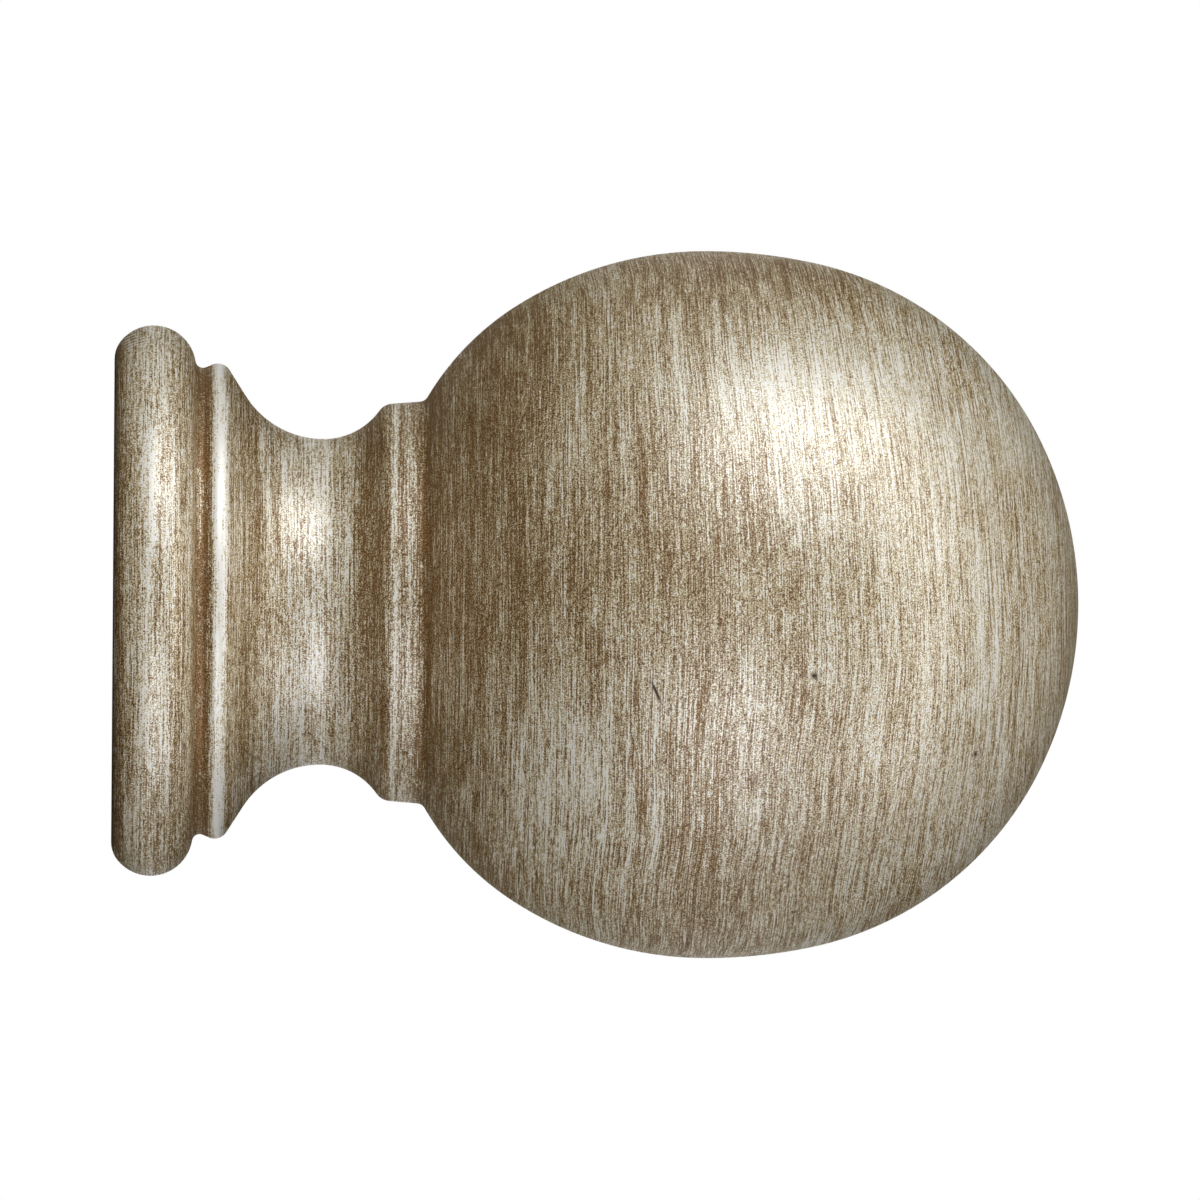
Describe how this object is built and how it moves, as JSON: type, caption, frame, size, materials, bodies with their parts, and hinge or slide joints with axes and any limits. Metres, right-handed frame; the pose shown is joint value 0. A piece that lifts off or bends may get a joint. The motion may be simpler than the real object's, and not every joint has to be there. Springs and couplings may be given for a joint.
{
  "type": "ball finial",
  "caption": "Turned ball finial with a half-round back ring, bead, cove and collar, and a threaded insert in its flat back for a pole's end bolt.",
  "frame": {"origin": "centre of the flat back face, which seats against the pole's end", "axes": "+Z along the turning axis from the back face to the tip of the ball; the part is a body of revolution, so X and Y are free"},
  "size_m": [0.0884, 0.0884, 0.1207],
  "materials": {
    "champagne_silver_finish": "turned hardwood in brushed champagne-silver metallic paint under a brown glaze, satin",
    "insert_brass": "plain turned brass, lightly dulled"
  },
  "bodies": {
    "root": {"finial_body": "champagne_silver_finish", "threaded_insert": "insert_brass"}
  },
  "joints": []
}
